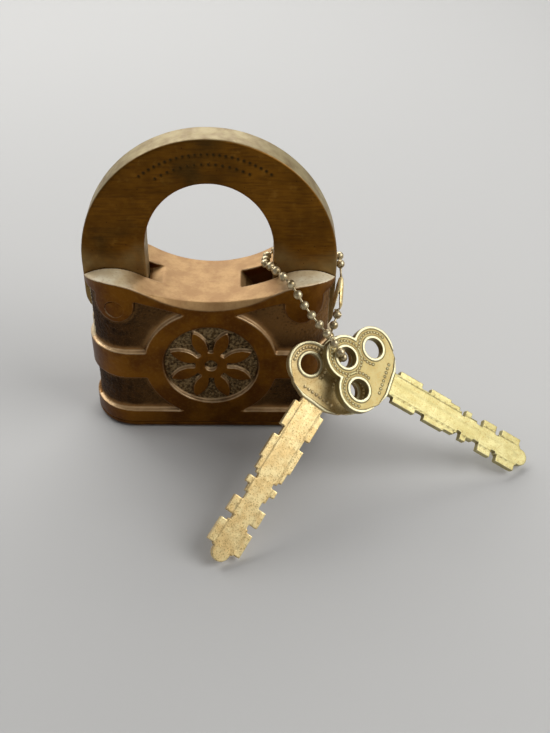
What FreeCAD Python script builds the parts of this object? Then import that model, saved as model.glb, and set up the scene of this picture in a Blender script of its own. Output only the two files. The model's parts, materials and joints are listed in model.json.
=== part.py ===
import FreeCAD, Part
import math
import os

from FreeCAD import Matrix, Vector

# Antique cast brass padlock: a stadium-plan case with a wide flat D shackle that swings about its
# left leg, a lever mechanism worked by a double-bitted key from below, and two such keys on a ball
# chain looped round the right leg.  Millimetres.  +X is the toe side, -Y the front, +Z up.  The
# origin is the centre of the underside.

os.makedirs("parts", exist_ok=True)

# ---- case ---------------------------------------------------------------------------------------
CASE_HALF_WIDTH = 38.5
CASE_HALF_DEPTH = 13.7
PLATE_THICKNESS = 2.2
FOOT_ROUND = 1.5
FIELD_DEPTH = 1.5                 # sunk fields lie this far in Y behind the raised bands
# the top is a hollow between two domed horns; the heights are those of the hollow's centre and of
# the horns' crowns, across the middle and along the chamfered front and back edges
TOP_MIDDLE = (48.4, 55.7)
TOP_EDGE = (46.5, 55.8)
CROWN_X = 29.3
CROWN_RADIUS = 17.0
TOP_CHAMFER_SLOPE = 0.87
BOTTOM_BAND_TOP = 7.1
MID_BAND = (20.5, 30.5)
RING_CENTRE_Z = 25.6
RING_OUTER = 20.8
RING_INNER = 14.7
LOBE_X = 28.2
LOBE_Z = 48.0
LOBE_RADIUS = 5.9
EMBLEM_TOP = 0.25                 # how far the emblem lies below the ring
EMBLEM_PETALS = 8
CAVITY_HALF_X = 17.0
CAVITY_HALF_Y = 10.2
CAVITY_TOP = 37.1

# ---- shackle ------------------------------------------------------------------------------------
SHACKLE_HALF_THICKNESS = 4.35
LEG_OUTER = 38.0
LEG_INNER = 19.0
OUTER_ARCH_Z = 57.3
OUTER_ARCH_RISE = 39.7
INNER_ARCH_Z = 62.0
INNER_ARCH_RISE = 21.4
SHACKLE_EDGE = 0.7
PIVOT_X = -0.5 * (LEG_OUTER + LEG_INNER)
PIVOT_Z = 46.5
PIVOT_PIN_RADIUS = 2.6
HEEL_RADIUS = 0.5 * (LEG_OUTER - LEG_INNER)
TOE_BOTTOM = 33.0
TOE_CORNER = 6.0
RUN_GAP = 0.2                     # clearance beside the swinging legs
SPRING_FLOOR = 33.0
PIN_GAP = 0.04                    # radial clearance of pins in running holes

# ---- pockets beside the legs --------------------------------------------------------------------
# each floor slopes down towards its leg; the ramps start a little above the case top
TOE_POCKET_X = 8.8
TOE_RAMP_TOP = 49.7
TOE_RAMP_END = 14.8
TOE_POCKET_FLOOR = 42.6
HEEL_POCKET_X = 13.0
HEEL_RAMP_TOP = 51.0
HEEL_POCKET_FLOOR = 49.4

# ---- bolt and cam -------------------------------------------------------------------------------
BOLT_THROW = 5.0
PLUG_RADIUS = 6.4
BOLT_BOTTOM = 37.3
BOLT_TOP = 41.1
BOLT_HALF_Y = 3.2
BOLT_TIP_X = 18.6
TAIL_HALF_Y = 5.0
TAIL_X = (-6.0, 4.0)
STUMP_X = 8.2
STUMP_RADIUS = 1.2
STUMP_BOTTOM = 7.0
CAM_RADIUS = 4.4
CAM_PIN_RADIUS = 1.0
CAM_PIN_REACH = 3.0
CAM_HALF_SWING = math.asin(0.5 * BOLT_THROW / CAM_PIN_REACH)

# ---- lever stack --------------------------------------------------------------------------------
LEVER_COUNT = 5
LEVER_THICKNESS = 3.4
LEVER_PITCH = 5.2
LEVER_FIRST_Z = 7.6
LEVER_POST_X = -14.0
LEVER_POST_RADIUS = 1.5
LEVER_BOSS = 2.6
LEVER_RING_OUTER = 8.2
LEVER_RING_INNER = 5.9
LEVER_END_X = 15.75
GATE_GAP = 0.15
GATE_POCKET = 3.8                 # depth of the two pockets that the stump drops into
STOP_POST = (12.5, -6.3)
STOP_POST_RADIUS = 1.2
MECH_PLATE = (35.4, 36.9)
SCREW_PLACES = [(13.0, 8.0), (8.5, -8.2), (-12.0, 8.0), (-12.0, -8.0)]
RIVET_PLACES = [(24.0, 7.5), (24.0, -7.5), (-24.0, 7.5), (-24.0, -7.5)]
RIVET_RADIUS = 1.6
RIVET_HEAD = 2.6

# ---- keys ---------------------------------------------------------------------------------------
KEY_THICKNESS = 1.9
KEY_RIM = 0.3                     # height of the raised rims above the plate
BOW_OFFSET = 7.15                 # side lobes lie this far along and across from the end lobe
LOBE_OUTER = 6.9
HOLE_RADIUS = 3.1
HOLE_RIM = 3.95
BLADE_HALF = 4.2
KEY_LENGTH = 69.4
# start, end and half-width of each bit along the blade; the two edges match
KEY_BITS = [(18.4, 26.8, 5.3), (30.1, 37.8, 5.4), (37.8, 41.5, 4.7), (43.9, 46.2, 5.0),
            (46.2, 48.6, 3.6), (50.9, 56.0, 5.4), (58.3, 65.5, 5.5)]
KEY_CORES = [(16.0, 42.5, 3.75), (42.5, 57.5, 2.7), (57.5, 66.0, 3.4)]
NUB_HALF = 2.7
# each key: centre of its end hole, direction of its blade, and the way its face looks
KEY_1_PLACE = ((40.2, -25.0, 38.14), (0.846, -0.081, -0.527), (0.413, -0.526, 0.744))
KEY_2_PLACE = ((39.12, -21.98, 35.53), (-0.522, -0.705, -0.480), (0.298, -0.690, 0.660))

# ---- ball chain ---------------------------------------------------------------------------------
BEAD_RADIUS = 1.33
BEAD_PITCH = 3.62
LINK_RADIUS = 0.38
CONNECTOR_RADIUS = 1.55
CONNECTOR_NECK = 1.1
CONNECTOR_TOP = (39.65, -3.0, 51.9)
CONNECTOR_FOOT = (38.25, -10.2, 45.4)
# the loop goes round the back of the right leg over the horn
LOOP_PATH = [(16.6, -2.2, 56.2), (16.75, 1.6, 55.2), (17.7, 5.5, 54.7), (21.0, 6.8, 56.0),
             (28.5, 6.9, 57.4), (35.0, 6.8, 56.6), (39.05, 4.9, 55.2), (39.55, 1.1, 54.2)]
# the drop hangs over the front edge, goes through both keys and climbs back to the connector
DROP_PATH = [(18.05, -5.8, 57.5), (21.4, -11.6, 58.1), (23.7, -14.4, 57.3), (27.7, -17.6, 52.2),
             (32.0, -20.2, 47.35), (35.5, -24.6, 45.2), (37.6, -26.5, 43.0), (39.5, -25.4, 38.9),
             (38.7, -22.3, 36.0), (37.6, -19.2, 34.0), (36.6, -16.6, 36.0), (36.3, -15.1, 39.7),
             (37.2, -14.3, 42.1), (38.35, -11.5, 44.2)]


def box(x0, x1, y0, y1, z0, z1):
    return Part.makeBox(x1 - x0, y1 - y0, z1 - z0, Vector(x0, y0, z0))


def rod(radius, x, y, z0, z1):
    return Part.makeCylinder(radius, z1 - z0, Vector(x, y, z0))


def rod_y(radius, x, z, y0, y1):
    return Part.makeCylinder(radius, y1 - y0, Vector(x, y0, z), Vector(0, 1, 0))


def fuse(shapes):
    return shapes[0].multiFuse(shapes[1:]).removeSplitter() if len(shapes) > 1 else shapes[0]


def prism(wire, direction):
    return Part.Face(wire).extrude(direction)


def polygon(points):
    return Part.makePolygon(points + [points[0]])


def stadium(half_width, half_depth, z0, z1):
    """Upright solid with straight sides and half-round ends."""
    flat = half_width - half_depth
    middle = box(-flat, flat, -half_depth, half_depth, z0, z1)
    ends = [rod(half_depth, side * flat, 0, z0, z1) for side in (-1, 1)]
    return fuse([middle] + ends)


def above_saddle(centre_z, crown_z, sweep):
    """Everything above a hollow and its two domes, wider than the case, swept from y = 0."""
    rise = centre_z - crown_z + CROWN_RADIUS
    hollow_radius = (CROWN_X ** 2 + rise ** 2 - CROWN_RADIUS ** 2) / (2 * (CROWN_RADIUS - rise))
    angle = math.asin(CROWN_X / (hollow_radius + CROWN_RADIUS))
    reach = CASE_HALF_WIDTH + 5

    def pair(x, z):
        return Vector(-x, 0, z), Vector(x, 0, z)

    meet = pair(hollow_radius * math.sin(angle),
                centre_z + hollow_radius * (1 - math.cos(angle)))
    crown = pair(CROWN_X, crown_z)
    end = pair(reach, crown_z - CROWN_RADIUS
               + math.sqrt(CROWN_RADIUS ** 2 - (reach - CROWN_X) ** 2))
    high = pair(reach, 80)
    return prism(Part.Wire([
        Part.Arc(end[0], crown[0], meet[0]).toShape(),
        Part.Arc(meet[0], Vector(0, 0, centre_z), meet[1]).toShape(),
        Part.Arc(meet[1], crown[1], end[1]).toShape(),
        Part.makeLine(end[1], high[1]),
        Part.makeLine(high[1], high[0]),
        Part.makeLine(high[0], end[0]),
    ]), sweep)


def top_cutters():
    """Everything above the saddle, and above the chamfers along its front and back edges."""
    middle = above_saddle(*TOP_MIDDLE, Vector(0, 40, 0))
    middle.translate(Vector(0, -20, 0))
    cutters = [middle]
    for side in (-1, 1):
        chamfer = above_saddle(*TOP_EDGE, Vector(0, -6 * side, 6 * TOP_CHAMFER_SLOPE))
        chamfer.translate(Vector(0, side * (CASE_HALF_DEPTH + 1), -TOP_CHAMFER_SLOPE))
        cutters.append(chamfer)
    return cutters


def top_band_outline(side):
    """Area above the lower edge of the top band on one side, seen from the front."""
    points = [(0, 44.0), (7.5, 44.7), (14.6, 47.0), (22.0, 49.3), (LOBE_X, 50.5), (33.5, 50.6),
              (40.0, 52.0), (40.0, 60), (0, 60)]
    return polygon([Vector(side * x, 0, z) for x, z in points])


def bands():
    """Raised bands, ring and corner lobes, as slabs running right through the case in Y."""
    reach = CASE_HALF_WIDTH + 5
    deep = Vector(0, 40, 0)
    slabs = [
        box(-reach, reach, 0, 40, -1, BOTTOM_BAND_TOP),
        box(-reach, reach, 0, 40, MID_BAND[0], MID_BAND[1]),
        rod_y(RING_OUTER, 0, RING_CENTRE_Z, 0, 40),
    ]
    for side in (-1, 1):
        slabs.append(prism(top_band_outline(side), deep))
        slabs.append(rod_y(LOBE_RADIUS, side * LOBE_X, LOBE_Z, 0, 40))
        slabs.append(box(side * LOBE_X - LOBE_RADIUS, side * LOBE_X + LOBE_RADIUS,
                         0, 40, LOBE_Z, 60))
    slab = fuse(slabs)
    slab.translate(Vector(0, -20, 0))
    return slab.cut(rod_y(RING_INNER, 0, RING_CENTRE_Z, -30, 30))


def petal(index, radius, y0, y1):
    """One lens-shaped petal of the rosette, pointing outward from the ring's centre."""
    inner, outer, half = 0.24 * radius, 0.93 * radius, 0.125 * radius
    middle = 0.62 * (inner + outer)
    start, end = Vector(inner, y0, 0), Vector(outer, y0, 0)
    edges = [
        Part.Arc(start, Vector(middle, y0, half), end).toShape(),
        Part.Arc(end, Vector(middle, y0, -half), start).toShape(),
    ]
    shape = prism(Part.Wire(edges), Vector(0, y1 - y0, 0))
    shape.rotate(Vector(0, 0, 0), Vector(0, 1, 0), 360.0 / EMBLEM_PETALS * (index + 0.5))
    shape.translate(Vector(0, 0, RING_CENTRE_Z))
    return shape


def emblem():
    """A plain rosette on the front medallion: petals, a hub, and a hole in the hub."""
    y0 = -CASE_HALF_DEPTH + EMBLEM_TOP
    y1 = -CASE_HALF_DEPTH + FIELD_DEPTH + 0.4
    pieces = [petal(i, RING_INNER, y0, y1) for i in range(EMBLEM_PETALS)]
    hub = rod_y(0.34 * RING_INNER, 0, RING_CENTRE_Z, y0, y1)
    dimple = rod_y(0.13 * RING_INNER, 0, RING_CENTRE_Z, y0 - 1, -CASE_HALF_DEPTH + FIELD_DEPTH)
    return [hub.cut(dimple)] + pieces


def leg_slots():
    """Openings in the case for both legs, the pockets beside them, and the heel's swing."""
    half = SHACKLE_HALF_THICKNESS + RUN_GAP
    edge = LEG_INNER - RUN_GAP
    out, high = CASE_HALF_WIDTH + 5, 80
    toe = box(edge, out, -half, half, TOE_BOTTOM - RUN_GAP, high)
    heel_radius = HEEL_RADIUS + RUN_GAP
    heel = fuse([
        rod_y(heel_radius, PIVOT_X, PIVOT_Z, -half, half),
        box(PIVOT_X, -edge, -half, half, PIVOT_Z, high),
        box(-out, PIVOT_X, -half, half, PIVOT_Z - heel_radius, high),
    ])
    toe_outline = [(edge, TOE_POCKET_FLOOR), (TOE_RAMP_END, TOE_POCKET_FLOOR),
                   (TOE_POCKET_X, TOE_RAMP_TOP), (TOE_POCKET_X, high), (edge, high)]
    heel_outline = [(-edge, HEEL_POCKET_FLOOR), (-HEEL_POCKET_X, HEEL_RAMP_TOP),
                    (-HEEL_POCKET_X, high), (-edge, high)]
    toe_pocket, heel_pocket = [
        prism(polygon([Vector(x, -half, z) for x, z in outline]), Vector(0, 2 * half, 0))
        for outline in (toe_outline, heel_outline)]
    spring_room = box(PIVOT_X - 5.6, PIVOT_X + 5.6, -half + 1, half - 1, SPRING_FLOOR,
                      PIVOT_Z - HEEL_RADIUS + 1)
    return fuse([toe, heel, toe_pocket, heel_pocket, spring_room])


def bolt_channel():
    gap = 0.15
    tail_end = TAIL_X[1] + BOLT_THROW + gap
    return fuse([
        box(TAIL_X[0] - gap, tail_end, -TAIL_HALF_Y - gap, TAIL_HALF_Y + gap,
            CAVITY_TOP - 0.5, BOLT_TOP + gap),
        box(0, LEG_INNER, -BOLT_HALF_Y - gap, BOLT_HALF_Y + gap, CAVITY_TOP - 0.5, BOLT_TOP + gap),
    ])


def case_shell():
    full = stadium(CASE_HALF_WIDTH, CASE_HALF_DEPTH, PLATE_THICKNESS, 60)
    # the mould parts at y = 0, so the fields fade out towards the ends of the case
    core = full.translated(Vector(0, FIELD_DEPTH, 0)).common(
        full.translated(Vector(0, -FIELD_DEPTH, 0)))
    raised = full.common(bands())
    body = fuse([core, raised] + emblem()).cut(top_cutters())
    cavity = box(-CAVITY_HALF_X, CAVITY_HALF_X, -CAVITY_HALF_Y, CAVITY_HALF_Y, 0, CAVITY_TOP)
    body = body.cut(fuse([cavity, leg_slots(), bolt_channel()]))
    holes = [rod_y(PIVOT_PIN_RADIUS, PIVOT_X, PIVOT_Z, -30, 30),
             rod(LEVER_POST_RADIUS + 0.02, LEVER_POST_X, 0, 30, 39.6)]
    holes += [rod(RIVET_RADIUS, x, y, 0, 10.2) for x, y in RIVET_PLACES]
    holes += [rod(0.9, x, y, 30, 41.2) for x, y in SCREW_PLACES]
    return body.cut(fuse(holes))


def bottom_plate():
    plate = stadium(CASE_HALF_WIDTH, CASE_HALF_DEPTH, 0, PLATE_THICKNESS)
    foot = [e for e in plate.Edges if abs(e.BoundBox.ZMax) < 1e-6]
    plate = plate.makeFillet(FOOT_ROUND, foot)
    holes = [rod(PLUG_RADIUS + PIN_GAP, 0, 0, -1, 5)]
    for x, y in RIVET_PLACES:
        holes.append(rod(RIVET_RADIUS, x, y, -1, 5))
        holes.append(rod(RIVET_HEAD, x, y, -1, 0.9))
    return plate.cut(fuse(holes))


def bottom_rivets():
    shapes = []
    for x, y in RIVET_PLACES:
        shank = rod(RIVET_RADIUS, x, y, 0.5, 10)
        shapes.append(shank.fuse(rod(RIVET_HEAD, x, y, 0.15, 0.9)).removeSplitter())
    return Part.makeCompound(shapes)


def half_ellipse(semi_x, rise, centre_z):
    """Upper half of an upright ellipse, from its right end to its left end."""
    centre = Vector(0, 0, centre_z)
    if rise > semi_x:
        curve = Part.Ellipse(centre + Vector(0, 0, rise), centre + Vector(semi_x, 0, 0), centre)
    else:
        curve = Part.Ellipse(centre + Vector(semi_x, 0, 0), centre + Vector(0, 0, rise), centre)
    ends = [curve.parameter(centre + Vector(x, 0, 0)) for x in (semi_x, -semi_x)]
    first, last = sorted(ends)
    arc = Part.ArcOfEllipse(curve, first, last).toShape()
    if arc.BoundBox.ZMin < centre_z - 0.01 * rise:
        arc = Part.ArcOfEllipse(curve, last, first + 2 * math.pi).toShape()
    return arc


def shackle():
    """The flat D: elliptical arches on two wide legs, a round heel and a notched toe."""
    outer = half_ellipse(LEG_OUTER, OUTER_ARCH_RISE, OUTER_ARCH_Z)
    inner = half_ellipse(LEG_INNER, INNER_ARCH_RISE, INNER_ARCH_Z)
    corner = Vector(LEG_OUTER - TOE_CORNER, 0, TOE_BOTTOM + TOE_CORNER)
    diagonal = TOE_CORNER * math.sqrt(0.5)
    edges = [
        outer,
        Part.makeLine(Vector(-LEG_OUTER, 0, OUTER_ARCH_Z), Vector(-LEG_OUTER, 0, PIVOT_Z)),
        Part.Arc(Vector(-LEG_OUTER, 0, PIVOT_Z), Vector(PIVOT_X, 0, PIVOT_Z - HEEL_RADIUS),
                 Vector(-LEG_INNER, 0, PIVOT_Z)).toShape(),
        Part.makeLine(Vector(-LEG_INNER, 0, PIVOT_Z), Vector(-LEG_INNER, 0, INNER_ARCH_Z)),
        inner,
        Part.makeLine(Vector(LEG_INNER, 0, INNER_ARCH_Z), Vector(LEG_INNER, 0, TOE_BOTTOM)),
        Part.makeLine(Vector(LEG_INNER, 0, TOE_BOTTOM), Vector(corner.x, 0, TOE_BOTTOM)),
        Part.Arc(Vector(corner.x, 0, TOE_BOTTOM), corner + Vector(diagonal, 0, -diagonal),
                 Vector(LEG_OUTER, 0, corner.z)).toShape(),
        Part.makeLine(Vector(LEG_OUTER, 0, corner.z), Vector(LEG_OUTER, 0, OUTER_ARCH_Z)),
    ]
    wire = Part.Wire(Part.__sortEdges__(edges))
    body = prism(wire, Vector(0, 2 * SHACKLE_HALF_THICKNESS, 0))
    body.translate(Vector(0, -SHACKLE_HALF_THICKNESS, 0))
    rims = [e for e in body.Edges
            if abs(abs(e.CenterOfMass.y) - SHACKLE_HALF_THICKNESS) < 1e-3]
    body = body.makeFillet(SHACKLE_EDGE, rims)
    pin_hole = rod_y(PIVOT_PIN_RADIUS + PIN_GAP, PIVOT_X, PIVOT_Z, -10, 10)
    notch = box(LEG_INNER - 1, BOLT_TIP_X + BOLT_THROW + 0.5, -5, 5,
                BOLT_BOTTOM - RUN_GAP, BOLT_TOP + RUN_GAP)
    return body.cut(fuse([pin_hole, notch]))


def shackle_pivot_pin():
    """Plain rivet through both walls; its ends are dressed to the curve of the case."""
    pin = rod_y(PIVOT_PIN_RADIUS, PIVOT_X, PIVOT_Z, -20, 20)
    skin = stadium(CASE_HALF_WIDTH, CASE_HALF_DEPTH, PIVOT_Z - 6, PIVOT_Z + 6)
    return pin.common(skin)


def strip(points, thickness, normal, width):
    """A thin leaf that follows an arc through three points."""
    start, mid, end = [Vector(*p) for p in points]
    circle = Part.Circle(start, mid, end)
    grown = [circle.Center + (p - circle.Center) * (1 + thickness / circle.Radius)
             for p in (start, mid, end)]
    edges = [
        Part.Arc(start, mid, end).toShape(),
        Part.makeLine(end, grown[2]),
        Part.Arc(grown[2], grown[1], grown[0]).toShape(),
        Part.makeLine(grown[0], start),
    ]
    return prism(Part.Wire(edges), Vector(*normal) * width)


def shackle_spring():
    """Bowed leaf in the floor of the heel slot, bearing on the round heel."""
    floor, rise = SPRING_FLOOR + 0.05, PIVOT_Z - HEEL_RADIUS - 0.6
    points = [(PIVOT_X - 4.8, -3.0, floor), (PIVOT_X, -3.0, rise), (PIVOT_X + 4.8, -3.0, floor)]
    return strip(points, 0.45, (0, 1, 0), 6.0)


def locking_bolt():
    tail = box(TAIL_X[0], TAIL_X[1], -TAIL_HALF_Y, TAIL_HALF_Y, BOLT_BOTTOM, BOLT_TOP)
    nose = box(0, BOLT_TIP_X, -BOLT_HALF_Y, BOLT_HALF_Y, BOLT_BOTTOM, BOLT_TOP)
    stump = rod(STUMP_RADIUS, STUMP_X, 0, STUMP_BOTTOM, BOLT_BOTTOM + 1)
    half = CAM_PIN_RADIUS + 0.3
    pin_x = -0.5 * BOLT_THROW
    pin_slot = box(pin_x - half, pin_x + half, 0.2, TAIL_HALF_Y - 0.5, BOLT_BOTTOM - 1,
                   BOLT_BOTTOM + 2.4)
    return fuse([tail, nose, stump]).cut(pin_slot)


def bolt_cam():
    """Disc turned by the key's nub, with an eccentric pin that carries the bolt across."""
    disc = rod(CAM_RADIUS, 0, 0, MECH_PLATE[0] - 0.1, MECH_PLATE[1] + 0.15)
    flange = rod(CAM_RADIUS + 0.9, 0, 0, MECH_PLATE[0] - 1.1, MECH_PLATE[0] - 0.05)
    pin = rod(CAM_PIN_RADIUS, -CAM_PIN_REACH * math.sin(CAM_HALF_SWING),
              CAM_PIN_REACH * math.cos(CAM_HALF_SWING), MECH_PLATE[1], BOLT_BOTTOM + 2.1)
    key_slot = box(-NUB_HALF - 0.2, NUB_HALF + 0.2, -1.2, 1.2, 30, MECH_PLATE[0] + 0.6)
    return fuse([disc, flange, pin]).cut(key_slot)


def key_plug():
    """Round guide that the key goes in through; it turns with the key in the bottom plate."""
    barrel = rod(PLUG_RADIUS, 0, 0, 0.2, 6.2)
    flange = rod(PLUG_RADIUS + 1.2, 0, 0, PLATE_THICKNESS + 0.1, PLATE_THICKNESS + 1.7)
    slot = box(-5.7, 5.7, -1.3, 1.3, -1, 8)
    mouth = Part.makeCone(2.6, 1.3, 1.3, Vector(0, 0, 0.2))
    return fuse([barrel, flange]).cut(fuse([slot, mouth]))


def mechanism_plate():
    plate = box(-CAVITY_HALF_X + 0.1, CAVITY_HALF_X - 0.1, -CAVITY_HALF_Y + 0.1,
                CAVITY_HALF_Y - 0.1, MECH_PLATE[0], MECH_PLATE[1])
    slot_half = STUMP_RADIUS + GATE_GAP
    end_x = STUMP_X + BOLT_THROW
    holes = [
        rod(CAM_RADIUS + PIN_GAP, 0, 0, 30, 40),
        box(STUMP_X, end_x, -slot_half, slot_half, 30, 40),
        rod(slot_half, STUMP_X, 0, 30, 40),
        rod(slot_half, end_x, 0, 30, 40),
        rod(LEVER_POST_RADIUS + 0.02, LEVER_POST_X, 0, 30, 40),
    ]
    holes += [rod(1.05, x, y, 30, 40) for x, y in SCREW_PLACES]
    return plate.cut(fuse(holes))


def plate_screws():
    shapes = []
    for x, y in SCREW_PLACES:
        head = rod(1.7, x, y, MECH_PLATE[0] - 1.0, MECH_PLATE[0])
        shank = rod(0.88, x, y, MECH_PLATE[0] - 0.5, 41.0)
        slot = box(x - 2, x + 2, y - 0.2, y + 0.2, MECH_PLATE[0] - 1.2, MECH_PLATE[0] - 0.6)
        shapes.append(head.fuse(shank).removeSplitter().cut(slot))
    return Part.makeCompound(shapes)


def lever_z(index):
    return LEVER_FIRST_Z + index * LEVER_PITCH


def lever(index):
    """Flat lever: pivot boss, ring round the key, and a gate with a pocket at each end."""
    z0, z1 = lever_z(index), lever_z(index) + LEVER_THICKNESS
    body = fuse([
        rod(LEVER_BOSS, LEVER_POST_X, 0, z0, z1),
        box(LEVER_POST_X, 0, -LEVER_BOSS, LEVER_BOSS, z0, z1),
        rod(LEVER_RING_OUTER, 0, 0, z0, z1),
        box(0, LEVER_END_X, -LEVER_BOSS, GATE_POCKET + 1.6, z0, z1),
    ])
    half = STUMP_RADIUS + GATE_GAP
    holes = [
        rod(LEVER_POST_RADIUS + PIN_GAP, LEVER_POST_X, 0, z0 - 1, z1 + 1),
        rod(LEVER_RING_INNER, 0, 0, z0 - 1, z1 + 1),
        box(STUMP_X, STUMP_X + BOLT_THROW, -half, half, z0 - 1, z1 + 1),
    ]
    for x in (STUMP_X, STUMP_X + BOLT_THROW):
        holes.append(rod(half, x, 0, z0 - 1, z1 + 1))
        holes.append(box(x - half, x + half, 0, GATE_POCKET, z0 - 1, z1 + 1))
    return body.cut(fuse(holes))


def lever_spring(index):
    """Leaf set in the lever's back edge, bearing on the rear wall of the cavity."""
    z0 = lever_z(index) + 0.5
    points = [(-12.2, LEVER_BOSS + 0.02, z0), (-10.9, 7.1, z0), (-6.9, CAVITY_HALF_Y - 0.45, z0)]
    return strip(points, 0.35, (0, 0, 1), 2.4)


def lever_post():
    return rod(LEVER_POST_RADIUS, LEVER_POST_X, 0, PLATE_THICKNESS + 0.02, 39.4)


def lever_stop_post():
    return rod(STOP_POST_RADIUS, STOP_POST[0], STOP_POST[1], PLATE_THICKNESS + 0.02,
               MECH_PLATE[0] - 0.02)


def lever_spacers():
    """Collars on the post below, between and above the levers."""
    gap = 0.1
    spans = [(PLATE_THICKNESS + gap, lever_z(0) - gap)]
    for index in range(LEVER_COUNT):
        top = lever_z(index) + LEVER_THICKNESS
        above = lever_z(index + 1) if index + 1 < LEVER_COUNT else MECH_PLATE[0]
        spans.append((top + gap, above - gap))
    shapes = []
    for z0, z1 in spans:
        collar = rod(LEVER_BOSS, LEVER_POST_X, 0, z0, z1)
        shapes.append(collar.cut(rod(LEVER_POST_RADIUS + 0.02, LEVER_POST_X, 0, z0 - 1, z1 + 1)))
    return Part.makeCompound(shapes)


def key_blank():
    """One double-bitted key, flat in its own plane: +X along the blade, +Z out of its face."""
    low, high = -KEY_THICKNESS / 2, KEY_THICKNESS / 2
    centres = [(0, 0), (BOW_OFFSET, BOW_OFFSET), (BOW_OFFSET, -BOW_OFFSET)]
    neck = [(2.0, 0), (11.0, 12.0), (14.6, 8.6), (16.4, BLADE_HALF), (16.4, -BLADE_HALF),
            (14.6, -8.6), (11.0, -12.0)]

    def bow(grow, z0, z1):
        lobes = [rod(LOBE_OUTER + grow, x, y, z0, z1) for x, y in centres]
        web = prism(polygon([Vector(x + (grow if x > 16 else 0), y, z0) for x, y in neck]),
                    Vector(0, 0, z1 - z0))
        return fuse(lobes + [web])

    blade = [box(x0, x1, -half, half, low, high) for x0, x1, half in KEY_BITS + KEY_CORES]
    nub_x = KEY_LENGTH - NUB_HALF
    blade.append(box(60, nub_x, -NUB_HALF, NUB_HALF, low, high))
    blade.append(rod(NUB_HALF, nub_x, 0, low, high))
    plate = fuse([bow(0, low, high)] + blade)

    rims = bow(0, low - KEY_RIM, high + KEY_RIM).cut(bow(-0.8, low - 1, high + 1))
    collars = [rod(HOLE_RIM, x, y, low - KEY_RIM, high + KEY_RIM) for x, y in centres]
    holes = [rod(HOLE_RADIUS, x, y, low - 1, high + 1) for x, y in centres]
    grooves = [box(17.5, 64, side * 3.45 - 0.15, side * 3.45 + 0.15, high - 0.12, high + 1)
               for side in (-1, 1)]
    return fuse([plate, rims] + collars).cut(fuse(holes + grooves))


def placed(shape, origin, forward, normal):
    """Move a flat shape so that its +X runs along forward and its +Z along normal."""
    x_axis = Vector(*forward).normalize()
    z_axis = Vector(*normal)
    z_axis = (z_axis - x_axis * z_axis.dot(x_axis)).normalize()
    y_axis = z_axis.cross(x_axis)
    matrix = Matrix(x_axis.x, y_axis.x, z_axis.x, origin[0],
                    x_axis.y, y_axis.y, z_axis.y, origin[1],
                    x_axis.z, y_axis.z, z_axis.z, origin[2],
                    0, 0, 0, 1)
    moved = shape.copy()
    moved.transformShape(matrix)
    return moved


def chain_curve(points):
    curve = Part.BSplineCurve()
    curve.interpolate([Vector(*p) for p in points])
    return curve


def beads_along(points):
    """Bead centres at an even pitch along a smooth curve through the points."""
    curve = chain_curve(points)
    count = round(curve.length() / BEAD_PITCH) + 1
    step = curve.length() / (count - 1)
    return [curve.value(curve.parameterAtDistance(i * step)) for i in range(count)]


def beads(places):
    return Part.makeCompound([Part.makeSphere(BEAD_RADIUS, place) for place in places])


def link(start, end, start_gap=BEAD_RADIUS, end_gap=BEAD_RADIUS):
    """Straight wire between two beads, from one surface to the other."""
    axis = (end - start).normalize()
    length = (end - start).Length - start_gap - end_gap
    return Part.makeCylinder(LINK_RADIUS, length, start + axis * start_gap, axis)


def links(places):
    return [link(start, end) for start, end in zip(places, places[1:])]


def chain_connector():
    """Folded brass coupling: a round tapered barrel with a V cut out of each face."""
    foot, top = Vector(*CONNECTOR_FOOT), Vector(*CONNECTOR_TOP)
    length = (top - foot).Length
    lip, neck = 0.15 * length, 0.8 * length
    barrel = Part.makeCone(CONNECTOR_RADIUS, CONNECTOR_NECK, neck - lip, Vector(0, 0, lip))
    cone = Part.makeCone(0.7 * CONNECTOR_RADIUS, CONNECTOR_RADIUS, lip)
    cap = Part.makeCone(CONNECTOR_NECK, 0.6 * CONNECTOR_NECK, length - neck, Vector(0, 0, neck))
    wedge = prism(polygon([Vector(0, -5, 0.62 * length), Vector(-0.9, -5, -1),
                           Vector(0.9, -5, -1)]), Vector(0, 10, 0))
    bore = Part.makeCylinder(0.62 * CONNECTOR_NECK, 0.7 * length, Vector(0, 0, -0.5))
    shape = fuse([barrel, cone, cap]).cut(fuse([wedge, bore]))
    axis = (top - foot).normalize()
    return placed(shape, CONNECTOR_FOOT, Vector(1, 0, 0) - axis * axis.x, axis)


def chain_parts():
    """The four chain nodes; the hanging part starts and ends beside the loop's end beads."""
    loop = beads_along(LOOP_PATH)
    drop = beads_along(DROP_PATH)
    foot, top = Vector(*CONNECTOR_FOOT), Vector(*CONNECTOR_TOP)
    slack = 0.2
    hung = links(drop)
    hung.append(link(loop[0], drop[0], BEAD_RADIUS + slack))
    hung.append(link(loop[-1], top, BEAD_RADIUS + slack, 0.2))
    hung.append(link(drop[-1], foot, BEAD_RADIUS, 0.2))
    return {
        "loop_beads": beads(loop),
        "loop_links": Part.makeCompound(links(loop)),
        "drop_beads": beads(drop),
        "drop_links": Part.makeCompound(hung),
    }


def keys():
    return {
        "key_1": placed(key_blank(), *KEY_1_PLACE),
        "key_2": placed(key_blank(), *KEY_2_PLACE),
    }


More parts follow.
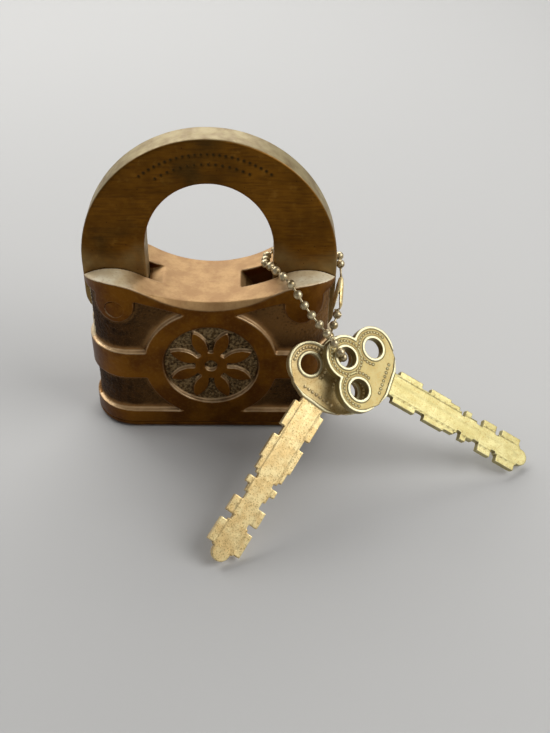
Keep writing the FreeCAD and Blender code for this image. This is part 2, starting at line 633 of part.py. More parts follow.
parts = {
    "case_shell": case_shell(),
    "bottom_plate": bottom_plate(),
    "bottom_rivets": bottom_rivets(),
    "shackle": shackle(),
    "shackle_pivot_pin": shackle_pivot_pin(),
    "shackle_spring": shackle_spring(),
    "locking_bolt": locking_bolt(),
    "bolt_cam": bolt_cam(),
    "key_plug": key_plug(),
    "mechanism_plate": mechanism_plate(),
    "plate_screws": plate_screws(),
    "lever_post": lever_post(),
    "lever_spacers": lever_spacers(),
    "lever_stop_post": lever_stop_post(),
    "chain_connector": chain_connector(),
}
for number in range(LEVER_COUNT):
    parts[f"lever_{number + 1}"] = lever(number)
    parts[f"lever_spring_{number + 1}"] = lever_spring(number)
parts.update(chain_parts())
parts.update(keys())

for name, shape in parts.items():
    shape.exportStep(f"parts/{name}.step")
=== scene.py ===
import json
import math

import bmesh
import bpy
import numpy as np
from mathutils import Matrix, Vector


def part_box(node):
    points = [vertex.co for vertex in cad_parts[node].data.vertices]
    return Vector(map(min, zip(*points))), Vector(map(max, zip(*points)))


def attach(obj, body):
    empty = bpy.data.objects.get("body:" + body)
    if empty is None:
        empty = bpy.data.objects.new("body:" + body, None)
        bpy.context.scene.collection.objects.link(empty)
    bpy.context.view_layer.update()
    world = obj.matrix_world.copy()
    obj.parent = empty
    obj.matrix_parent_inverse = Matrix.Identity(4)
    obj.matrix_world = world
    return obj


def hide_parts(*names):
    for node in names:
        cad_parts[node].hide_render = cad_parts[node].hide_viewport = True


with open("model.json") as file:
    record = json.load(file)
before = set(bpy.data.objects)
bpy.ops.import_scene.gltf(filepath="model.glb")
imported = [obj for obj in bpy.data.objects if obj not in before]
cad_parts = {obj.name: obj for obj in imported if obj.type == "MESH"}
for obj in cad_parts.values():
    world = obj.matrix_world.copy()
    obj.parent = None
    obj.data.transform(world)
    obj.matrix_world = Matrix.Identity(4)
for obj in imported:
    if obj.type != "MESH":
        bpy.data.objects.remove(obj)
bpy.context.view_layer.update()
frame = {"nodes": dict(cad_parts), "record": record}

# An old cast brass padlock with two keys on a ball chain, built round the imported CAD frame.
# Shapes are worked in millimetres and stored in metres.
MM = 0.001
NODES = frame["nodes"]
BODY_OF = {node: body for body, nodes in frame["record"]["behaviour"]["bodies"].items()
           for node in nodes}
SLOT_OF = {part["node"]: part["material_slot"] for part in frame["record"]["subparts"]}

# the case: flat sides between two half-round ends
CASE_HALF, CASE_DEPTH, _ = np.array(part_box("case_shell")[1]) / MM
CASE_FLAT = CASE_HALF - CASE_DEPTH              # half length of the flat sides
RING_Z, RING_OUTER, RING_INNER = 25.6, 20.8, 14.7
LOBE_X, LOBE_Z, LOBE_RADIUS = 28.2, 48.0, 5.9
BASE_BAND_TOP = 7.1
BELT_Z, BELT_HALF = 25.5, 5.0
TOP_BAND_X = (0, 7.5, 14.6, 22.0, LOBE_X, 33.5, 40.0)          # the top band's lower edge
TOP_BAND_Z = (44.0, 44.7, 47.0, 49.3, 50.5, 50.6, 52.0)
FIELD_DEPTH = 1.3                               # from the bands down to the dark fields
RELIEF_DEPTH = 2.8                              # everything deeper than this is inside the case
SLOT_HALF = 5.0                                 # half width of the pockets and the leg slots
# what each point of the case carries for its material
CASE_MARKS = ("field", "wear", "top", "horn", "dark_corners_and_shade", "dust", "halo_wear_and_light", "ground")

# the edges of the shackle's arch: height of the centre, half width and rise
ARCH_INNER = (62.0, 19.0, 21.4)
ARCH_OUTER = (57.3, 38.0, 39.7)

# the keys, measured from the end hole along the blade and across it
KEY_HOLES = np.array([(0.0, 0.0), (7.15, 7.15), (7.15, -7.15)])
BOW_END, BLADE_END = 16.5, 66.0
DOT_RING, DOT_RING_END = 5.05, 9.5              # the curved row's radius, and where it stops
DOT_ROW, DOT_RADIUS = 13.6, 0.5

# the ball chain
WIRE_WAIST, WIRE_NECK, WIRE_END = 0.3, 0.36, 0.44              # radii of the links
BEAD_MOUTH, BEAD_LIP, BEAD_BORE = 0.62, 0.42, 0.34              # radii of a bead's ends

# ---- noise on points, repeatable ------------------------------------------------------------------


def hashed(cell, seed):
    """A number in 0..1 for each whole-number lattice cell, stirred by large odd factors."""
    c = cell.astype(np.int64)
    h = c[:, 0] * 374761393 + c[:, 1] * 668265263 + c[:, 2] * 1274126177 + seed * 974634777
    h = (h ^ (h >> 13)) * 1103515245 & 0x7FFFFFFF
    h = (h ^ (h >> 15)) * 12345677 & 0x7FFFFFFF
    return (h & 0xFFFFFF) / float(0xFFFFFF)


def value_noise(points, seed):
    """Smooth noise of -1..1 with one lump to each lattice cell."""
    base = np.floor(points)
    f = points - base
    f = f * f * (3 - 2 * f)
    total = np.zeros(len(points))
    for corner in range(8):
        offset = np.array([corner & 1, corner >> 1 & 1, corner >> 2 & 1])
        weight = np.prod(np.where(offset, f, 1 - f), axis=1)
        total += weight * hashed(base + offset, seed)
    return total * 2 - 1


def fractal(points, size, octaves, seed):
    """Layered noise of about -1..1 whose largest lumps are size mm across."""
    total, gain = np.zeros(len(points)), 1.0
    for octave in range(octaves):
        total += gain * value_noise(points / size * 2 ** octave, seed + octave)
        gain *= 0.5
    return total / (2 - 2 * gain)


def pebbles(points, size, seed):
    """Rounded bumps on a jittered lattice: 1 at a bump's top, 0 between bumps."""
    p = points / size
    base = np.floor(p)
    nearest = np.full(len(points), 9.0)
    for corner in range(27):
        cell = base + np.array([corner % 3, corner // 3 % 3, corner // 9]) - 1
        spot = cell + np.stack([hashed(cell, seed + k) for k in range(3)], axis=1)
        nearest = np.minimum(nearest, ((p - spot) ** 2).sum(axis=1))
    return np.clip(1 - nearest / 0.55, 0, 1)


def smoothstep(low, high, value):
    """0 at low, 1 at high and smooth between; low may be the larger of the two."""
    t = np.clip((value - low) / (high - low), 0, 1)
    return t * t * (3 - 2 * t)


# ---- dense meshes worked point by point -----------------------------------------------------------


def stand_in(name, mesh, material, node):
    """Show a mesh in place of a CAD node: it rides the node's body and takes the given material."""
    mesh.shade_smooth()
    mesh.materials.clear()
    mesh.materials.append(material)
    piece = bpy.data.objects.new(name, mesh)
    bpy.context.scene.collection.objects.link(piece)
    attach(piece, BODY_OF[node])
    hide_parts(node)


class Skin:
    """A fine, even mesh made from a CAD node, worked in mm with numpy."""

    def __init__(self, name, node, voxel):
        self.name, self.node = name, node
        solid = bmesh.new()
        solid.from_mesh(NODES[node].data)
        bmesh.ops.remove_doubles(solid, verts=solid.verts, dist=1e-6)
        bmesh.ops.scale(solid, verts=solid.verts, vec=(1 / MM,) * 3)
        rough = bpy.data.meshes.new(name + "_rough")
        solid.to_mesh(rough)
        solid.free()
        holder = bpy.data.objects.new(name + "_rough", rough)
        bpy.context.scene.collection.objects.link(holder)
        modifier = holder.modifiers.new("even", "REMESH")
        modifier.mode = "VOXEL"
        modifier.voxel_size = voxel
        graph = bpy.context.evaluated_depsgraph_get()
        self.mesh = bpy.data.meshes.new_from_object(holder.evaluated_get(graph))
        self.mesh.name = name
        bpy.data.objects.remove(holder)
        count = len(self.mesh.vertices)
        self.co = np.empty(count * 3)
        self.mesh.vertices.foreach_get("co", self.co)
        self.co = self.co.reshape(-1, 3)
        edges = np.empty(len(self.mesh.edges) * 2, np.int64)
        self.mesh.edges.foreach_get("vertices", edges)
        self.edges = edges.reshape(-1, 2)
        ends = self.edges.ravel()
        self.degree = np.maximum(np.bincount(ends, minlength=count), 1)

    def around(self, values):
        """The mean of each point's neighbours."""
        a, b = self.edges[:, 0], self.edges[:, 1]
        n = len(self.co)
        if values.ndim == 1:
            total = np.bincount(a, values[b], n) + np.bincount(b, values[a], n)
            return total / self.degree
        return np.stack([self.around(values[:, k]) for k in range(values.shape[1])], axis=1)

    def smooth(self, rounds, mask=None, strength=0.5):
        share = strength if mask is None else (strength * mask)[:, None]
        for _ in range(rounds):
            self.co += (self.around(self.co) - self.co) * share

    def blur(self, values, rounds):
        for _ in range(rounds):
            values = 0.5 * values + 0.5 * self.around(values)
        return values

    def normals(self):
        self.mesh.vertices.foreach_set("co", self.co.ravel())
        self.mesh.update()
        out = np.empty(len(self.co) * 3)
        self.mesh.vertex_normals.foreach_get("vector", out)
        return out.reshape(-1, 3)

    def push(self, amount, direction=None):
        """Move each point by its own amount, outwards unless a direction is given."""
        direction = self.normals() if direction is None else direction
        self.co += direction * amount[:, None]

    def convexity(self, rounds):
        """Positive on outside edges, negative in inside corners."""
        away = ((self.co - self.around(self.co)) * self.normals()).sum(axis=1)
        return self.blur(away, rounds)

    def mark(self, name, values):
        """Keep a value at each point for the material to read."""
        layer = self.mesh.attributes.new(name, "FLOAT", "POINT")
        layer.data.foreach_set("value", values.astype(np.float32))

    def finish(self, material):
        self.mesh.vertices.foreach_set("co", (self.co * MM).ravel())
        self.mesh.update()
        stand_in(self.name, self.mesh, material, self.node)


# ---- node materials -------------------------------------------------------------------------------


class Shader:
    """A short way to write a node material: each call adds a node and returns its output."""

    def __init__(self, name):
        self.material = bpy.data.materials.new(name)
        self.material.use_nodes = True
        self.tree = self.material.node_tree
        self.tree.nodes.clear()
        self.place = self.add("ShaderNodeTexCoord").outputs["Object"]

    def add(self, kind, inputs=None, **settings):
        node = self.tree.nodes.new(kind)
        for key, value in settings.items():
            setattr(node, key, value)
        for key, value in (inputs or {}).items():
            socket = node.inputs[key]
            if isinstance(value, bpy.types.NodeSocket):
                self.tree.links.new(value, socket)
            else:
                socket.default_value = value
        return node

    def attribute(self, name):
        return self.add("ShaderNodeAttribute", attribute_name=name).outputs["Fac"]

    def stretched(self, x, y, z):
        node = self.add("ShaderNodeVectorMath", {0: self.place, 1: (x, y, z)},
                        operation="MULTIPLY")
        return node.outputs[0]

    def noise(self, size, detail=4.0, rough=0.55, place=None):
        """Noise whose lumps are size mm across."""
        node = self.add("ShaderNodeTexNoise", {
            "Vector": place or self.place, "Scale": 1 / (size * MM), "Detail": detail,
            "Roughness": rough})
        return node.outputs["Fac"]

    def cells(self, size):
        """Distance from the middle of the nearest of many cells, size mm across."""
        node = self.add("ShaderNodeTexVoronoi", {
            "Vector": self.place, "Scale": 1 / (size * MM)})
        return node.outputs["Distance"]

    def ramp(self, value, low, high, from_value=0.0, to_value=1.0):
        """A smooth step between two values as the input goes from low to high."""
        node = self.add("ShaderNodeMapRange", {
            "Value": value, "From Min": low, "From Max": high, "To Min": from_value,
            "To Max": to_value}, interpolation_type="SMOOTHSTEP")
        return node.outputs["Result"]

    def math(self, operation, a, b=0.0):
        return self.add("ShaderNodeMath", {0: a, 1: b}, operation=operation).outputs[0]

    def mix(self, share, a, b):
        """Colour a turned into colour b by a share; each may be a value or a node's output."""
        node = self.add("ShaderNodeMix", data_type="RGBA")
        for index, value in ((0, share), (6, a), (7, b)):
            socket = node.inputs[index]
            if isinstance(value, bpy.types.NodeSocket):
                self.tree.links.new(value, socket)
            elif index:
                socket.default_value = (*value, 1.0)
            else:
                socket.default_value = value
        return node.outputs[2]

    def bump(self, height, depth, normal=None):
        """Bump whose full height is depth mm."""
        inputs = {"Height": height, "Strength": 1.0, "Distance": depth * MM}
        if normal is not None:
            inputs["Normal"] = normal
        return self.add("ShaderNodeBump", inputs).outputs["Normal"]

    def done(self, color, rough, metal, normal=None):
        inputs = {"Base Color": color, "Roughness": rough, "Metallic": metal}
        if normal is not None:
            inputs["Normal"] = normal
        surface = self.add("ShaderNodeBsdfPrincipled", inputs).outputs["BSDF"]
        self.add("ShaderNodeOutputMaterial", {"Surface": surface})
        return self.material


def srgb(r, g, b):
    """Linear colour from the usual 0..255 screen values."""
    def linear(v):
        v /= 255
        return v / 12.92 if v <= 0.04045 else ((v + 0.055) / 1.055) ** 2.4
    return linear(r), linear(g), linear(b)


def case_material():
    s = Shader("case_cast_brass")
    field, wear = s.attribute("field"), s.attribute("wear")
    top, dark_corners_and_shade, dust = s.attribute("top"), s.attribute("dark_corners_and_shade"), s.attribute("dust")
    blotch, fine = s.noise(8, 5), s.noise(0.9, 4)
    grit = s.cells(0.5)
    band = s.mix(s.ramp(blotch, 0.35, 0.65), srgb(122, 76, 14), srgb(92, 52, 10))
    band = s.mix(s.ramp(fine, 0.45, 0.8, 0, 0.35), band, srgb(140, 98, 40))
    sunk = s.mix(s.ramp(s.noise(2.5, 5), 0.35, 0.65), srgb(50, 31, 13), srgb(72, 46, 20))
    sunk = s.mix(s.ramp(grit, 0.26, 0.05, 0, 0.7), sunk, srgb(142, 108, 66))
    sunk = s.mix(s.ramp(s.noise(0.5, 4, 0.7), 0.6, 0.72, 0, 0.5), sunk, srgb(150, 120, 80))
    sunk = s.mix(dust, sunk, srgb(158, 116, 66))
    stipple = s.mix(s.ramp(fine, 0.4, 0.62), srgb(156, 134, 96), srgb(84, 66, 40))
    sunk = s.mix(s.attribute("ground"), sunk, stipple)
    color = s.mix(field, band, sunk)
    # the field just above up-facing ledges is lightened, partly wear and partly a painted highlight
    halo_wear_and_light = s.attribute("halo_wear_and_light")
    color = s.mix(halo_wear_and_light, color, srgb(172, 130, 78))
    # tops facing up get a pale colour that is partly worn, dusty metal and partly a painted
    # highlight, palest on the horns
    sand_and_highlight = s.mix(s.ramp(s.noise(5, 5), 0.35, 0.65), srgb(182, 145, 95), srgb(160, 122, 76))
    sand_and_highlight = s.mix(s.ramp(fine, 0.45, 0.75, 0, 0.4), sand_and_highlight, srgb(150, 112, 68))
    pale = s.mix(s.ramp(blotch, 0.35, 0.6), srgb(248, 236, 204), srgb(224, 202, 160))
    pale = s.mix(s.ramp(fine, 0.5, 0.7, 0, 0.4), pale, srgb(190, 160, 112))
    horn = s.attribute("horn")
    sand_and_highlight = s.mix(horn, sand_and_highlight, pale)
    color = s.mix(top, color, sand_and_highlight)
    # rubbed edges are bright, and up-facing ledges get a painted highlight in the same colour
    color = s.mix(wear, color, srgb(242, 208, 160))
    # inside corners darker, with painted shade on the right-hand pocket's walls
    color = s.mix(dark_corners_and_shade, color, srgb(34, 22, 10))
    rough = s.mix(field, (0.4,) * 3, (0.6,) * 3)
    rough = s.mix(top, rough, (0.52,) * 3)
    metal = s.math("SUBTRACT", 0.92, s.math("MULTIPLY", top, s.ramp(horn, 0, 1, 0.4, 0.85)))
    metal = s.math("SUBTRACT", metal, s.math("MULTIPLY", s.math("MAXIMUM", wear, halo_wear_and_light), 0.5))
    metal = s.math("MAXIMUM", metal, 0.0)
    normal = s.bump(s.noise(0.4, 3), 0.025)
    normal = s.bump(s.noise(3.0, 4), 0.1, normal)
    return s.done(color, rough, metal, normal)


def shackle_material():
    s = Shader("shackle_brass")
    wear, rim, stain = s.attribute("wear"), s.attribute("rim"), s.attribute("stain")
    streak = s.noise(0.7, 4, 0.6, s.stretched(0.12, 1.0, 1.0))
    blotch = s.noise(10, 5)
    pits = s.cells(2.6)
    face = s.mix(s.ramp(blotch, 0.3, 0.7), srgb(134, 88, 22), srgb(104, 66, 14))
    face = s.mix(s.ramp(streak, 0.42, 0.7, 0, 0.55), face, srgb(76, 48, 14))
    face = s.mix(s.ramp(s.noise(3.0, 5), 0.55, 0.8, 0, 0.45), face, srgb(156, 112, 44))
    face = s.mix(stain, face, srgb(62, 48, 22))
    face = s.mix(s.attribute("dirt"), face, srgb(150, 128, 84))
    face = s.mix(s.ramp(pits, 0.09, 0.04, 0, 0.8), face, srgb(44, 28, 12))
    # the pale rim colour is partly worn metal and partly a painted highlight
    pale = s.mix(s.ramp(s.noise(4, 5), 0.35, 0.7), srgb(166, 150, 110), srgb(136, 116, 78))
    color = s.mix(rim, face, pale)
    color = s.mix(wear, color, srgb(214, 176, 118))
    metal = s.math("SUBTRACT", 0.92, s.math("MULTIPLY", rim, 0.42))
    normal = s.bump(streak, 0.02)
    normal = s.bump(s.noise(0.5, 3), 0.02, normal)
    return s.done(color, s.ramp(s.noise(1.6, 4), 0.3, 0.75, 0.44, 0.6), metal, normal)


def key_material(name, light, shade):
    s = Shader(name)
    wear, sunk, raised = s.attribute("wear"), s.attribute("sunk"), s.attribute("raised")
    speck, blotch = s.noise(0.45, 4, 0.7), s.noise(4, 4)
    color = s.mix(s.ramp(blotch, 0.35, 0.65), light, shade)
    color = s.mix(s.attribute("bow"), color, s.mix(0.55, color, srgb(120, 96, 52)))
    color = s.mix(s.ramp(speck, 0.5, 0.66, 0, 0.75), color, srgb(152, 120, 58))
    color = s.mix(sunk, color, srgb(112, 76, 36))
    color = s.mix(raised, color, srgb(216, 206, 164))
    color = s.mix(wear, color, srgb(236, 226, 190))
    normal = s.bump(speck, 0.03)
    return s.done(color, 0.4, 0.7, normal)


def plain_metal(name, light, dark, rough, size=2.0, metal=0.9):
    s = Shader(name)
    color = s.mix(s.ramp(s.noise(size, 5), 0.35, 0.68), light, dark)
    normal = s.bump(s.noise(0.4, 3), 0.02)
    return s.done(color, s.ramp(s.noise(size * 0.6, 3), 0.3, 0.7, rough - 0.08, rough + 0.1),
                  metal, normal)


# ---- case -----------------------------------------------------------------------------------------


def case_top(x):
    """Height of the middle of the case top at x: a hollow between two domed horns."""
    centre, crown_x, crown_z, radius = 48.4, 29.3, 55.7, 17.0
    x = np.abs(x)
    rise = centre - crown_z + radius
    sag = (crown_x ** 2 + rise ** 2 - radius ** 2) / (2 * (radius - rise))
    hollow = centre + sag - np.sqrt(np.maximum(sag ** 2 - x ** 2, 1))
    dome = crown_z - radius + np.sqrt(np.maximum(radius ** 2 - (x - crown_x) ** 2, 0))
    return np.where(x < sag * crown_x / (sag + radius), hollow, dome)


def band_distance(x, z):
    """How far inside the raised bands, ring and lobes a point of the side is; below 0 outside."""
    x = np.abs(x)
    lobe = np.where(z > LOBE_Z, np.abs(x - LOBE_X), np.hypot(x - LOBE_X, z - LOBE_Z))
    base = BASE_BAND_TOP - z
    belt = BELT_HALF - np.abs(z - BELT_Z)
    ring = RING_OUTER - np.hypot(x, z - RING_Z)
    top = z - np.interp(x, TOP_BAND_X, TOP_BAND_Z)
    return np.max([base, belt, ring, LOBE_RADIUS - lobe, top], axis=0)


def from_side(co):
    """For each point, the way out through the case's side and the depth below that side."""
    x, y, _ = co.T
    outward = np.stack([np.where(np.abs(x) > CASE_FLAT, x - np.sign(x) * CASE_FLAT, 0), y,
                        np.zeros_like(x)], axis=1)
    across = np.linalg.norm(outward, axis=1)
    return outward / np.maximum(across, 1e-6)[:, None], CASE_DEPTH - across


def sink_fields(skin):
    """The fields keep their depth round the ends of the case."""
    outward, depth = from_side(skin.co)
    inside = band_distance(skin.co[:, 0], skin.co[:, 2])
    sunk = FIELD_DEPTH * smoothstep(0.1, -0.25, inside)
    skin.push(-np.clip(sunk - depth, 0, None), outward)


def soften_steps(skin, depth):
    """The foot of every step is a soft cove, as cast metal leaves it."""
    x, _, z = skin.co.T
    hollow = skin.blur(smoothstep(0.02, 0.08, -skin.convexity(1)), 7)
    cove = smoothstep(0.02, 0.25, hollow) * smoothstep(0.25, 0.8, depth) * (depth < RELIEF_DEPTH)
    skin.smooth(10, cove * (case_top(x) - z > 2.5))


def below_rim(co):
    """True on the sides well below the top edge, clear of the slots."""
    x, y, z = co.T
    return (case_top(x) - z > 3) * (np.abs(y) > SLOT_HALF)


def dust_in_fields(co, field, inside):
    """Dust gathers along the bands, in the upper right fields and round the ring."""
    x, _, z = co.T
    dust = field * smoothstep(2.2, 0.2, -inside) * (0.45 + 0.35 * fractal(co, 5.0, 3, 71))
    dust = np.maximum(dust, field * smoothstep(5, 25, x) * smoothstep(30, 42, z) * 0.8)
    return np.maximum(dust, field * smoothstep(30, 14, np.abs(x)) * 0.25)


def roughen_case(skin, normal, field, ground, inside, top):
    """Pebbles in the fields, and the gentle unevenness of a casting all over."""
    grain = (pebbles(skin.co, 0.7, 3) * 0.16 + pebbles(skin.co, 1.2, 11) * 0.1) * (1 + 0.6 * ground)
    away = smoothstep(0.0, 0.9, np.maximum(-inside, ground * 2))
    skin.push((grain - 0.08) * field * away, normal)
    skin.push(0.08 * fractal(skin.co, 6.0, 4, 21), normal)
    skin.push(0.03 * fractal(skin.co, 1.4, 3, 41) * (1 - 0.7 * top), normal)


def make_case():
    skin = Skin("case_casting", "case_shell", 0.28)
    skin.smooth(2)
    sink_fields(skin)
    outward, depth = from_side(skin.co)
    side = smoothstep(0.3, 0.7, (skin.normals() * outward).sum(axis=1)) * (depth < RELIEF_DEPTH)
    soften_steps(skin, depth)

    # where the fields, the medallion's ground, the pockets and the top lie
    normal = skin.normals()
    x, y, z = skin.co.T
    inside = band_distance(x, z)
    off_centre = np.hypot(x, z - RING_Z)
    ground = smoothstep(RING_INNER, RING_INNER - 0.4, off_centre) * smoothstep(0.7, 1.2, depth)
    field = side * np.maximum(smoothstep(0.1, -0.25, inside), ground)
    pocket = smoothstep(2.2, 3.2, case_top(x) - z) * (np.abs(y) < SLOT_HALF) * (z > 30)
    # up-facing surfaces near the top take the pale top colour, partly a painted highlight
    top = smoothstep(0.3, 0.65, normal[:, 2]) * (z > 42) * (1 - pocket)
    top *= 1 - smoothstep(2.3, 3.0, case_top(x) - z)
    floor = smoothstep(0.4, 0.6, normal[:, 2]) * pocket
    dust = dust_in_fields(skin.co, field, inside)
    # ledges that face up, and the field just above them, are worn and dusty in part and also carry a
    # painted highlight
    ledge_side = smoothstep(0.0, 0.2, band_distance(x, z - 0.3) - inside) * (inside < 0.2)
    reach = 2.6 + 1.2 * fractal(skin.co, 3.0, 3, 77)
    halo_wear_and_light = (depth > -0.5) * (depth < 2.2) * ledge_side * smoothstep(reach, 0.0, -inside) ** 1.5
    halo_wear_and_light *= below_rim(skin.co)
    roughen_case(skin, normal, field, ground, inside, top)

    # edges are rubbed bright, up-facing edges and ledges also get a painted highlight, and inside
    # corners are dark
    edge = skin.convexity(2)
    ragged = 0.7 + 0.5 * fractal(skin.co, 2.2, 3, 61)
    upward = smoothstep(-0.2, 0.5, normal[:, 2])
    wear = smoothstep(0.012, 0.045, edge) * (1 - 0.8 * field) * (0.08 + 0.92 * upward) * ragged
    # band ledges facing up carry a painted highlight in the wear colour
    lit_ledge = smoothstep(0.2, 0.55, normal[:, 2]) * (depth < 1.8) * below_rim(skin.co)
    wear = np.maximum(wear, 0.85 * lit_ledge * ragged)
    # inside corners are darkened, and the walls of the right-hand pocket get painted shade
    dark_corners_and_shade = smoothstep(0.008, 0.03, -edge) * (1 - lit_ledge) * (1 - ledge_side) * 0.75
    dark_corners_and_shade = np.maximum(dark_corners_and_shade, 0.2 * pocket * (x > 0) * (1 - floor))
    # the pale top colour, partly a painted highlight, runs down into the pockets and their up-facing
    # floors, most of all into the shallow one
    top = np.maximum(top, np.maximum(0.85 * floor, pocket * np.where(x < 0, 0.8, 0.35)))
    horn = smoothstep(20, 27, np.abs(x) + 2 * fractal(skin.co, 6.0, 3, 91))
    marks = (field, wear, top, horn, dark_corners_and_shade, dust, 0.9 * halo_wear_and_light, 0.8 * ground * side)
    for name, values in zip(CASE_MARKS, marks):
        skin.mark(name, np.clip(values, 0, 1))
    skin.finish(case_material())


def make_pivot_pin():
    """The pin's ends are spread over the rim of its hole, so only a faint ring shows."""
    skin = Skin("pivot_pin", "shackle_pivot_pin", 0.2)
    from_axis = (skin.co - skin.co.mean(axis=0)) * (1, 0, 1)
    spread = 0.16 * smoothstep(12.8, 13.4, np.abs(skin.co[:, 1]))
    skin.co += from_axis * spread[:, None]
    skin.push(0.02 * fractal(skin.co, 1.4, 3, 41))
    for name in CASE_MARKS:
        skin.mark(name, np.zeros(len(skin.co)))
    skin.finish(bpy.data.materials["case_cast_brass"])


# ---- shackle --------------------------------------------------------------------------------------


def arch_point(turn, share):
    """A point of the shackle's face: turn goes round the arch, share from inner to outer edge."""
    inner, outer = (np.array([half * math.cos(turn), centre + rise * math.sin(turn)])
                    for centre, half, rise in (ARCH_INNER, ARCH_OUTER))
    return inner + share * (outer - inner)


def dimples(flat, centres, radius):
    """1 at the middle of each round mark, 0 outside them all."""
    out = np.zeros(len(flat))
    for centre in centres:
        reach = ((flat - centre) ** 2).sum(axis=1) / radius ** 2
        out = np.maximum(out, np.clip(1 - reach, 0, 1))
    return out


def make_shackle():
    skin = Skin("shackle_bow", "shackle", 0.25)
    skin.smooth(2)
    normal = skin.normals()
    x, y, z = skin.co.T
    # two curved rows of round punch marks
    marks = [arch_point(math.radians(turn), share)
             for share, first, last, step in ((0.67, 127, 53, 3.1), (0.45, 122, 62, 4.1))
             for turn in np.arange(first, last, -step)]
    front = (normal[:, 1] < -0.8) & (y < -3.5)
    punched = dimples(skin.co[:, (0, 2)], marks, 0.62) * front
    skin.push(0.06 * fractal(skin.co, 7.0, 4, 5), normal)
    skin.push(0.015 * fractal(skin.co * (0.2, 1, 1), 0.9, 3, 9), normal)
    pits = smoothstep(0.55, 0.75, fractal(skin.co, 2.4, 3, 33))
    skin.push(-0.08 * pits, normal)
    edge = skin.convexity(2)
    skin.push(-0.28 * punched, normal)
    # the outer sides are paler: partly worn, dusty metal, partly a painted highlight that is
    # strongest where they face up
    outer = smoothstep(0.75, 0.35, np.abs(normal[:, 1]))
    rim = outer * (0.5 + 0.5 * smoothstep(-0.3, 0.6, normal[:, 2]))
    stain = 0.75 * smoothstep(0.15, 0.7, fractal(skin.co, 16.0, 3, 15) + 0.018 * (z - 72))
    # the legs are greyer just above the case, where dirt collects
    dirt = smoothstep(62, 55, z - 0.06 * np.minimum((np.abs(x) - 30) ** 2, 70)) * (1 - rim)
    skin.mark("wear", smoothstep(0.012, 0.035, edge) * (0.7 + 0.4 * fractal(skin.co, 2.5, 3, 63)))
    skin.mark("rim", rim)
    skin.mark("stain", np.clip(np.maximum(stain * (1 - rim), punched), 0, 1))
    skin.mark("dirt", dirt * (0.6 + 0.4 * fractal(skin.co, 3.0, 4, 83)))
    skin.finish(shackle_material())


# ---- keys -----------------------------------------------------------------------------------------


def key_frame(node, skin):
    """The key's end-hole centre and its axes: along the blade, across it, and out of its face."""
    joint = next(j for j in frame["record"]["behaviour"]["joints"] if j["child"] == BODY_OF[node])
    origin = np.array(joint["pos_m"]) / MM
    out = np.array(joint["axis"])
    out /= np.linalg.norm(out)
    along = skin.co.mean(axis=0) - origin
    along -= out * along.dot(out)
    along /= np.linalg.norm(along)
    return origin, along, np.cross(out, along), out


def bow_dots():
    """Small dots that follow the edge of the bow round its three holes, and a straight row."""
    dots = []
    for hole in KEY_HOLES:
        for turn in np.arange(0, 2 * math.pi, 2 * math.pi / 30):
            dot = hole + DOT_RING * np.array([math.cos(turn), math.sin(turn)])
            clear = min(np.linalg.norm(dot - other) for other in KEY_HOLES)
            if clear > DOT_RING - 0.05 and dot[0] < DOT_RING_END:
                dots.append(dot)
    return dots + [np.array([DOT_ROW, across]) for across in np.arange(-4.9, 5.0, 1.4)]


def make_key(node, material):
    skin = Skin(node + "_cut", node, 0.17)
    skin.smooth(2)
    origin, along, side, out = key_frame(node, skin)
    a, b, c = ((skin.co - origin) @ np.stack([along, side, out], axis=1)).T
    flat = np.stack([a, b], axis=1)
    face = smoothstep(0.6, 0.9, np.abs(skin.normals() @ out))
    outward = out[None, :] * np.sign(c)[:, None]
    beading = dimples(flat, bow_dots(), DOT_RADIUS) * face
    blade = smoothstep(BOW_END, BOW_END + 1.5, a) * smoothstep(BLADE_END, BLADE_END - 2, a) * face
    # faint draw lines run along the blade, with a crease near each edge
    waves = 0.04 * np.cos(2.1 * b) - 0.08 * np.exp(-((np.abs(b) - 3.4) / 0.35) ** 2)
    skin.push(0.22 * beading + waves * blade, outward)
    skin.push(0.02 * fractal(skin.co, 1.3, 3, 15))
    edge = skin.convexity(1)
    # the rims of the bow stand proud of its face
    raised = np.clip(smoothstep(1.02, 1.2, np.abs(c)) * (a < BOW_END), 0, 1)
    skin.mark("wear", smoothstep(0.008, 0.03, edge))
    skin.mark("raised", raised)
    skin.mark("sunk", smoothstep(0.006, 0.02, -edge) * 0.8)
    flat_bow = smoothstep(BOW_END + 0.5, BOW_END - 0.5, a)
    skin.mark("bow", flat_bow * (1 - np.clip(np.maximum(raised, beading), 0, 1)))
    skin.finish(material)


# ---- ball chain -----------------------------------------------------------------------------------


def islands(node):
    """The loose parts of a CAD node's mesh, in mm, each as an array of points."""
    mesh = bmesh.new()
    mesh.from_mesh(NODES[node].data)
    bmesh.ops.remove_doubles(mesh, verts=mesh.verts, dist=1e-6)
    mesh.verts.ensure_lookup_table()
    seen, parts = set(), []
    for vertex in mesh.verts:
        if vertex.index in seen:
            continue
        seen.add(vertex.index)
        stack, found = [vertex], []
        while stack:
            here = stack.pop()
            found.append(here.co / MM)
            for edge in here.link_edges:
                there = edge.other_vert(here)
                if there.index not in seen:
                    seen.add(there.index)
                    stack.append(there)
        parts.append(np.array(found))
    mesh.free()
    return parts


